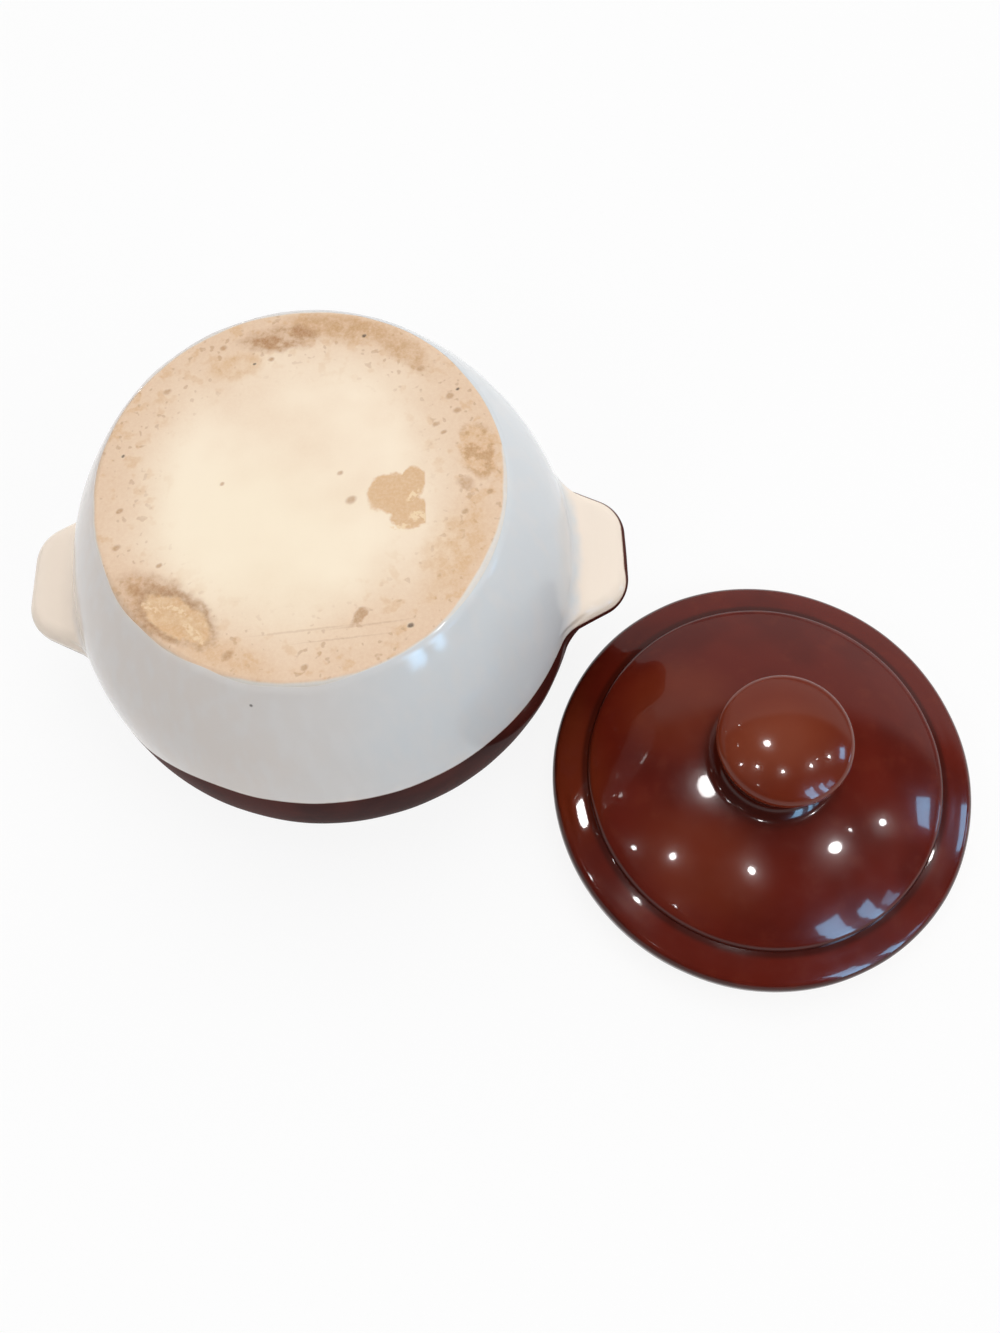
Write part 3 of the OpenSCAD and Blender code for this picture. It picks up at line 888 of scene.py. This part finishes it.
def base_marks(s, colour):
    """The base's colour with its wear, stains and dots."""
    near, far = s.from_axis(POT_AT)
    uneven = s.wandered(near, *STAIN_WANDER)
    speck = s.wandered(near, DOT_WANDER)
    edge = s.span_mm(s.shaken(far, *EDGE_TONE_NOISE, detail=3.0), *EDGE_TONE)
    colour = s.mix(s.blot(uneven, YELLOWED, 0.7, 0.45), colour, YELLOW)
    colour = s.mix(edge, colour, PEACH_DEEP)
    spots = s.span(s.noise(4.2, 2.0), 0.55, 0.68, 0.0, 0.6)
    colour = s.mix(s.times(spots, edge), colour, TAN)
    specks = s.span(s.noise(2.3, 1.0), 0.64, 0.72, 0.0, 0.42)
    colour = s.mix(s.times(specks, s.span_mm(far, *SPECKS_FROM)), colour, BROWN_STAIN)
    mottle = s.span(s.noise(4.5, 4.0, 0.6), 0.36, 0.62, 0.4, 1.0)
    flaky = s.span(s.noise(3.4, 3.0, 0.6), 0.36, 0.66, 0.0, 0.45)
    worn = s.mix(flaky, TAN, FLAKE)
    broken = s.span(s.noise(1.3, 2.0), 0.4, 0.56)
    left_of_edge = s.span_mm(s.parts(near)[0], PATCH_EDGE_X + 0.4, PATCH_EDGE_X - 0.2)
    patch = s.most([s.blot(uneven, part, 0.1) for part in PATCH])
    flakes = s.most([s.blot(uneven, part, 0.3) for part in PATCH_FLAKES])
    scar = s.blot(uneven, SCAR, 0.12, 0.95)
    scar_flakes = s.most([s.blot(uneven, part, 0.3) for part in SCAR_FLAKES])
    ring = s.times(s.blot(uneven, SCAR_RIM, 0.16), s.span(s.noise(3.4, 2.0), 0.34, 0.62, 0.35, 1.0))
    scratch = s.most([s.blot(speck, part, 0.6) for part in SCRATCHES])
    tan = [s.times(mottle, s.blot(uneven, *stain)) for stain in TAN_STAINS]
    brown = [s.times(mottle, s.blot(uneven, *stain)) for stain in BROWN_STAINS]
    brown.append(s.times(s.blot(uneven, EDGE_PATCH, 0.3), s.span(mottle, 0.6, 1.0, 0.0, 0.55)))
    stains = [
        (s.most(tan), TAN),
        (s.most(brown), BROWN_STAIN),
        (s.times(ring, 0.8), RIM_STAIN),
        (scar, worn),
        (s.times(s.times(scar_flakes, broken), 0.7), FLAKE),
        (s.times(s.times(patch, left_of_edge), 0.9), s.mix(0.85, worn, TAN)),
        (s.times(s.times(flakes, left_of_edge), broken), FLAKE),
        (s.blot(uneven, SMALL_PATCH, 0.4, 0.5), BROWN_STAIN),
        (s.blot(uneven, SMUDGE, 0.4, 0.75), BROWN_STAIN),
        (s.times(scratch, 0.25), BROWN_STAIN),
    ]
    for dots, stain, strength in ((PALE_DOTS, BROWN_STAIN, 0.65), (DARK_DOTS, DARK_STAIN, 0.9)):
        marks = [((x, y), (size, DOT_FLAT * size), DOT_TURN) for x, y, size in dots]
        share = s.most([s.blot(speck, mark, 0.5) for mark in marks])
        stains.append((s.times(share, strength), stain))
    for share, stain in stains:
        colour = s.mix(share, colour, stain)
    return colour


def glaze_smear(s):
    """Where glaze has run thinly over the base's edge."""
    near, _ = s.from_axis(POT_AT)
    _, far = s.from_axis(POT_AT + BASE_SHIFT)
    wider = s.most([s.blot(near, *place) for place in SMEAR_WIDE])
    run = s.shaken(s.math("ADD", far, wider), *SMEAR_NOISE)
    on_base = s.span_mm(s.parts(near)[2], *SMEAR_Z)
    return s.times(on_base, s.span_mm(run, *SMEAR_RUN))


def clay_material(name, marked):
    """Bare fired stoneware; with the base's stains where marked."""
    s = Shader(name)
    cloud = s.noise(38, 3.0)
    grain = s.noise(0.9, 4.0, 0.65)
    colour = s.mix(s.span(cloud, 0.35, 0.75, 0.0, 0.5), PALE, PEACH_DEEP)
    rough = s.span(cloud, 0.3, 0.7, 0.78, 0.9)
    if marked:
        smear = glaze_smear(s)
        colour = s.mix(smear, base_marks(s, colour), SMEAR)
        rough = s.math("SUBTRACT", rough, s.times(smear, 0.55))
    colour = s.mix(s.span(grain, 0.3, 0.75, 0.0, 0.2), colour, PALE)
    s.set(Base_Color=colour, Roughness=rough, Specular_IOR_Level=0.3)
    s.set(Normal=s.bump(grain, 0.06, 0.5))
    return s.material


# White glaze: its colours, with painted light that is warm on the left and bluish from a window on the
# right, where that painted light turns from warm to cool, where the ears' cream starts, the brown fringe at
# the glaze line, and one dark speck
WHITE = linear(229, 227, 226)
WHITE_PAINTED_WARM_LIGHT = linear(227, 219, 213)
WHITE_PAINTED_WINDOW_LIGHT = linear(221, 225, 228)
CREAM = linear(250, 235, 219)
FRINGE = linear(158, 100, 68)
SPECK = linear(70, 60, 54)
PAINTED_LIGHT_SIDE = (0.0, 80.0)
PAINTED_LIGHT_SIDE_NOISE = 60.0
STREAK = (0.16, 0.16, 0.02)
EAR_CREAM = (87.0, 92.0)
EAR_CREAM_NOISE = (8, 4 * MM)
FRINGE_WIDE = (0.9, 0.25)
FRINGE_NOISE = (1.6, 0.5)
SPECK_AT = (-13.2, -67.7, 105.5)
SPECK_WIDE = (0.9, 0.5)


def white_material():
    """Opaque white glaze with painted warm and bluish light, cream ears, and a brown fringe at the other
    coat.
    """
    s = Shader("white_glaze_coat")
    near, far = s.from_axis(POT_AT)
    x = s.parts(near)[0]
    cloud = s.noise(46, 2.0)
    # Painted light: the glaze turns from warm on the left to bluish, as from a window, on the right
    side = s.math("ADD", x, s.times(cloud, PAINTED_LIGHT_SIDE_NOISE * MM))
    streak = s.noise(1.0, 2.0, place=s.vector("MULTIPLY", s.place, STREAK))
    colour = s.mix(s.span_mm(side, *PAINTED_LIGHT_SIDE), WHITE_PAINTED_WARM_LIGHT, WHITE_PAINTED_WINDOW_LIGHT)
    colour = s.mix(s.span(streak, 0.4, 0.7, 0.0, 0.4), colour, WHITE)
    ear = s.span_mm(s.shaken(far, *EAR_CREAM_NOISE), *EAR_CREAM)
    colour = s.mix(ear, colour, CREAM)
    line = s.add("Attribute", attribute_name="from_line").outputs["Fac"]
    colour = s.mix(s.span(s.shaken(line, *FRINGE_NOISE), *FRINGE_WIDE, 0.0, 0.7), colour, FRINGE)
    speck = s.vector("DISTANCE", near, tuple(v * MM for v in SPECK_AT), out="Value")
    colour = s.mix(s.span_mm(speck, *SPECK_WIDE, 0.0, 0.8), colour, SPECK)
    s.set(Base_Color=colour, Roughness=s.span(cloud, 0.3, 0.7, 0.08, 0.14))
    s.set(IOR=1.5, Specular_IOR_Level=0.2)
    s.set(Normal=s.bump(s.noise(6.0, 2.0), 0.05, 0.3))
    return s.material


# Brown glaze: colours on the lid and on the pot's band
GLAZE_RED = linear(98, 27, 15)
GLAZE_DEEP = linear(84, 21, 11)
GLAZE_THIN_AND_LIT = linear(122, 50, 26)
GLAZE_WORN = linear(132, 64, 42)
GLAZE_POOL_AND_SHADE = linear(58, 17, 10)
BAND_RED = linear(78, 34, 29)
BAND_DEEP = linear(54, 24, 22)
BAND_THIN = linear(92, 44, 34)

# Where the lid's glaze is dark, as distances from its axis and heights: painted shade with pooled glaze
# about the knob's foot and along the groove, and painted shade at the brim's edge; and the heights between
# which the knob's cap starts, above which it is painted lighter as light from above
FOOT_POOL_AND_SHADE_R = (27.0, 21.0)
FOOT_POOL_AND_SHADE_Z = (54.0, 51.0)
GROOVE_IN = (61.2, 62.6)
GROOVE_OUT = (65.6, 63.8)
EDGE_DARK = (74.0, 75.2)
CAP_FROM = (52.0, 56.0)
LID_WANDER = (9, 1.6 * MM)
CAP_WANDER = (7, 3 * MM)

# Places on the lid where the glaze is thin and more orange, and on the knob's crown, from the lid's axis
ZONE_WANDER = (18, 5.0)
THIN_ZONES = (
    ((-26.0, -32.0), (22.0, 15.0), -35.0),
    ((-30.0, 22.0), (18.0, 16.0), 0.0),
    ((-69.0, 8.0), (12.0, 28.0), 0.0),
)
CROWN_ZONE = ((-6.0, -2.5), (15.0, 9.5), 10.0)


def brown_material(name, main, deep, thin, lid):
    """Glossy iron-brown glaze, lighter where thin; on the lid, pooled glaze with painted shade and a
    painted lit cap.
    """
    s = Shader(name)
    cloud = s.noise(30, 2.0)
    mottle = s.noise(7.0, 3.0, 0.55)
    colour = s.mix(s.span(cloud, 0.4, 0.66, 0.0, 0.8), main, deep)
    colour = s.mix(s.span(mottle, 0.5, 0.75, 0.0, 0.16), colour, thin)
    if lid:
        near, far = s.from_axis(LID_AT)
        z = s.parts(near)[2]
        wander = s.shaken(far, *LID_WANDER)
        uneven = s.wandered(near, ZONE_WANDER)
        zones = s.most([s.blot(uneven, zone, 0.5, 0.5) for zone in THIN_ZONES])
        colour = s.mix(zones, colour, thin)
        # Painted light: above a wavy line at mid-height the knob is painted lighter and more orange, as lit
        # from above
        cap = s.span_mm(s.shaken(z, *CAP_WANDER), *CAP_FROM, 0.0, 0.5)
        colour = s.mix(cap, colour, thin)
        crown = s.times(cap, s.blot(near, CROWN_ZONE, 0.7, 1.4))
        colour = s.mix(crown, colour, GLAZE_WORN)
        foot_pool_and_shade = s.times(s.span_mm(wander, *FOOT_POOL_AND_SHADE_R), s.span_mm(z, *FOOT_POOL_AND_SHADE_Z))
        groove = s.times(s.span_mm(far, *GROOVE_IN), s.span_mm(far, *GROOVE_OUT))
        edge = s.span_mm(wander, *EDGE_DARK)
        # Painted shade under the knob's cap and in the groove, where glaze has also pooled, and painted
        # shade at the brim's edge
        for place, share in ((foot_pool_and_shade, 0.8), (groove, 0.75), (edge, 0.8)):
            colour = s.mix(s.times(place, share), colour, GLAZE_POOL_AND_SHADE)
    s.set(Base_Color=colour, Roughness=s.span(mottle, 0.3, 0.8, 0.18, 0.26), IOR=1.5)
    if lid:
        s.set(Specular_IOR_Level=0.1, Coat_Weight=0.3, Coat_Roughness=0.05, Coat_IOR=1.5)
    else:
        s.set(Specular_IOR_Level=0.0, Coat_Weight=0.12, Coat_Roughness=0.06, Coat_IOR=1.5)
    scuffs = s.times(s.noise(1.1, 3.0), s.span(s.noise(15, 2.0), 0.48, 0.62))
    s.set(Normal=s.bump(scuffs, 0.05, 0.35, s.bump(s.noise(5.0, 2.0), 0.05, 0.3)))
    return s.material


def place_piece(piece, body, nodes, material):
    """Gives a piece its material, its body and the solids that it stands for."""
    piece.data.materials.append(material)
    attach(piece, body)
    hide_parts(*nodes)


base_clay = clay_material("pot_stoneware", True)
plain_clay = clay_material("plain_stoneware", False)
white_glaze = white_material()
band_glaze = brown_material("brown_glaze_band", BAND_RED, BAND_DEEP, BAND_THIN, False)
lid_glaze = brown_material("brown_glaze_lid", GLAZE_RED, GLAZE_DEEP, GLAZE_THIN_AND_LIT, True)

white_coat, brown_coat = white_and_brown_coats()
place_piece(white_coat, "pot", ["white_glaze"], white_glaze)
place_piece(brown_coat, "pot", ["brown_glaze"], band_glaze)
place_piece(pot_clay(), "pot", ["pot_body"], base_clay)
place_piece(ear_core("handle_clay_right", 0.0), "pot", ["right_handle"], plain_clay)
place_piece(ear_core("handle_clay_left", math.pi), "pot", ["left_handle"], plain_clay)
place_piece(lid_coat(), "lid", ["lid_glaze"], lid_glaze)

# Solids that stay, with their finished materials
STAYS = {"pot_lining": band_glaze, "lid_body": plain_clay, "knob": plain_clay, "lid_lining": lid_glaze}
for name, material in STAYS.items():
    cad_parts[name].material_slots[0].material = material

# Camera: the photograph's own place, heading, pitch, roll and focal length
EYE = (3.89, -147.30, 412.02)
PITCH = math.radians(68.975)
ROLL = math.radians(5.110)
HEADING = math.radians(2.382)
FOCAL_PX = 1130.79
IMAGE_H = 1333
SENSOR = 36.0


def photo_camera():
    """The camera, turned as the photograph was taken."""
    data = bpy.data.cameras.new("photo_camera")
    data.sensor_fit = "VERTICAL"
    data.sensor_height = SENSOR
    data.lens = SENSOR * FOCAL_PX / IMAGE_H
    data.clip_start = 0.01
    data.clip_end = 50
    ahead = Vector((-math.sin(HEADING), math.cos(HEADING), 0))
    right = Vector((math.cos(HEADING), math.sin(HEADING), 0))
    up = Vector((0, 0, 1))
    look = ahead * math.cos(PITCH) - up * math.sin(PITCH)
    down = -ahead * math.sin(PITCH) - up * math.cos(PITCH)
    image_right = right * math.cos(ROLL) + down * math.sin(ROLL)
    image_down = down * math.cos(ROLL) - right * math.sin(ROLL)
    turned = Matrix((image_right, -image_down, -look)).transposed().to_4x4()
    turned.translation = Vector(EYE) * MM
    camera = linked("photo_camera", data)
    camera.matrix_world = turned
    bpy.context.scene.camera = camera


# The sweep: radius of its floor and of its curve, its wall's height, how far it lies below the pot and the
# lid, rings of points on its floor and degrees between its outlines
SWEEP_FLAT = 2600.0
SWEEP_CURVE = 300.0
SWEEP_WALL = 330.0
SWEEP_DROP = 0.3
SWEEP_RINGS = (400.0, 1200.0)
SWEEP_STEP = 5.0

# The floor is white near the pot and fades to grey towards the wall of the sweep
FLOOR_GLOW = 0.88
FLOOR_WHITE = linear(248, 248, 248)
WALL_GREY = linear(176, 176, 178)
FLOOR_TO = (700.0, 2200.0)


def studio_sweep():
    """A round floor that curves up into a low wall all round."""
    line = np.concatenate([
        [[r, -SWEEP_DROP] for r in (0.0,) + SWEEP_RINGS],
        arc((SWEEP_FLAT, SWEEP_CURVE - SWEEP_DROP), SWEEP_CURVE, -90, 0, 16),
        [[SWEEP_FLAT + SWEEP_CURVE, SWEEP_WALL]]])
    turn = np.radians(np.arange(0, 360, SWEEP_STEP))
    points = spun(line, turn, (0, 0))
    faces = ring_quads(len(turn), len(line), False)
    mesh = bpy.data.meshes.new("studio_sweep")
    mesh.from_pydata((points.reshape(-1, 3) * MM).tolist(), [], faces.tolist())
    mesh.shade_smooth()
    sweep = linked("studio_sweep", mesh)
    paint = Shader("studio_paint")
    _, far = paint.from_axis((0, 0))
    colour = paint.mix(paint.span_mm(far, *FLOOR_TO), FLOOR_WHITE, WALL_GREY)
    paint.set(Base_Color=colour, Roughness=0.9, Specular_IOR_Level=0.1)
    paint.whiten(paint.span_mm(far, *FLOOR_TO, FLOOR_GLOW, 0.0))
    mesh.materials.append(paint.material)


# The lamps face a point between the pot and the lid
AIM = Vector((40 * MM, -10 * MM, 40 * MM))


def lamp(name, azimuth, elevation, distance, size, radiance, colour=(1, 1, 1)):
    """An area lamp that faces the lid and the pot; azimuth runs from +Y towards +X, sizes in metres."""
    data = bpy.data.lights.new(name, "AREA")
    wide, tall = size
    data.shape = "RECTANGLE" if wide != tall else "DISK"
    data.size = wide
    data.size_y = tall
    area = wide * tall if wide != tall else math.pi * wide * wide / 4
    data.energy = radiance * math.pi * area
    data.color = colour
    made = linked(name, data)
    a, e = math.radians(azimuth), math.radians(elevation)
    way = Vector((math.sin(a) * math.cos(e), math.cos(a) * math.cos(e), math.sin(e)))
    made.location = AIM + way * distance
    made.rotation_euler = way.to_track_quat("Z", "Y").to_euler()
    return made


# Small lamps: azimuth, elevation, width in metres and radiance
SPOTS = (
    (-128.0, 58.5, 0.070, 150), (176.0, 64.0, 0.085, 180), (120.5, 52.5, 0.085, 180),
    (108.0, 50.0, 0.035, 120), (99.5, 37.0, 0.070, 180), (-109.0, 47.0, 0.050, 130),
    (-81.0, 47.5, 0.050, 25), (-50.0, 44.0, 0.030, 60), (-146.0, 44.0, 0.040, 90),
    (-66.0, 78.5, 0.200, 80),
)
# Window panes: middle azimuth, lowest and highest elevation, width in degrees and radiance
PANES = (
    (145.0, 0.0, 38.0, 9.0, 23), (130.8, 0.0, 33.5, 4.8, 23), (122.5, 11.0, 28.0, 5.0, 10),
    (92.2, 18.5, 24.5, 8.6, 22), (93.6, 0.0, 4.0, 7.0, 20),
)
PANE_COLOUR = (0.30, 0.64, 1.0)
SPOT_DISTANCE = 1.6
# Soft lamps, which nothing mirrors: name, azimuth, elevation, size in metres, radiance and colour
SOFT_LAMPS = (
    ("soft_top", 10, 74, (1.8, 1.6), 2.3, (1.0, 1.0, 1.0)),
    ("soft_front", 222, 36, (1.4, 1.2), 1.5, (1.0, 1.0, 1.0)),
    ("soft_right", 122, 36, (1.6, 1.1), 2.1, (0.98, 0.99, 1.0)),
)
SOFT_DISTANCE = 2.0


def studio_light():
    """The lamps and panes that the glaze mirrors, and the soft light on everything."""
    for i, (azimuth, elevation, width, radiance) in enumerate(SPOTS):
        spot = lamp(f"spot_{i}", azimuth, elevation, SPOT_DISTANCE, (width, width), radiance)
        spot.visible_diffuse = False
    for i, (azimuth, low, high, width, radiance) in enumerate(PANES):
        half_tall = math.tan(math.radians((high - low) / 2))
        half_wide = math.tan(math.radians(width / 2))
        size = (2 * SPOT_DISTANCE * half_wide, 2 * SPOT_DISTANCE * half_tall)
        pane = lamp(f"pane_{i}", azimuth, (low + high) / 2, SPOT_DISTANCE, size, radiance, PANE_COLOUR)
        pane.visible_diffuse = False
    for name, azimuth, elevation, size, radiance, colour in SOFT_LAMPS:
        lamp(name, azimuth, elevation, SOFT_DISTANCE, size, radiance, colour).visible_glossy = False


# The far side of the room is light up to a leaning border, and the rest is dim
LIGHT_SIDE = (0.06, -1.405, 1.0)
LIGHT_BORDER = (-0.16, 0.08)
LIGHT_LEVELS = (0.98, 0.12)


def studio_world():
    """The room: light on its far side and dim elsewhere."""
    world = bpy.data.worlds.new("studio_world")
    bpy.context.scene.world = world
    room = Nodes(world)
    way = room.add("TexCoord").outputs["Generated"]
    tilt = room.vector("DOT_PRODUCT", way, LIGHT_SIDE, out="Value")
    back = room.tree.nodes["Background"].inputs
    room.put(back["Strength"], room.span(tilt, *LIGHT_BORDER, *LIGHT_LEVELS))
    room.put(back["Color"], (1, 1, 1, 1))


photo_camera()
studio_sweep()
studio_light()
studio_world()
bpy.context.scene.view_settings.view_transform = "Standard"
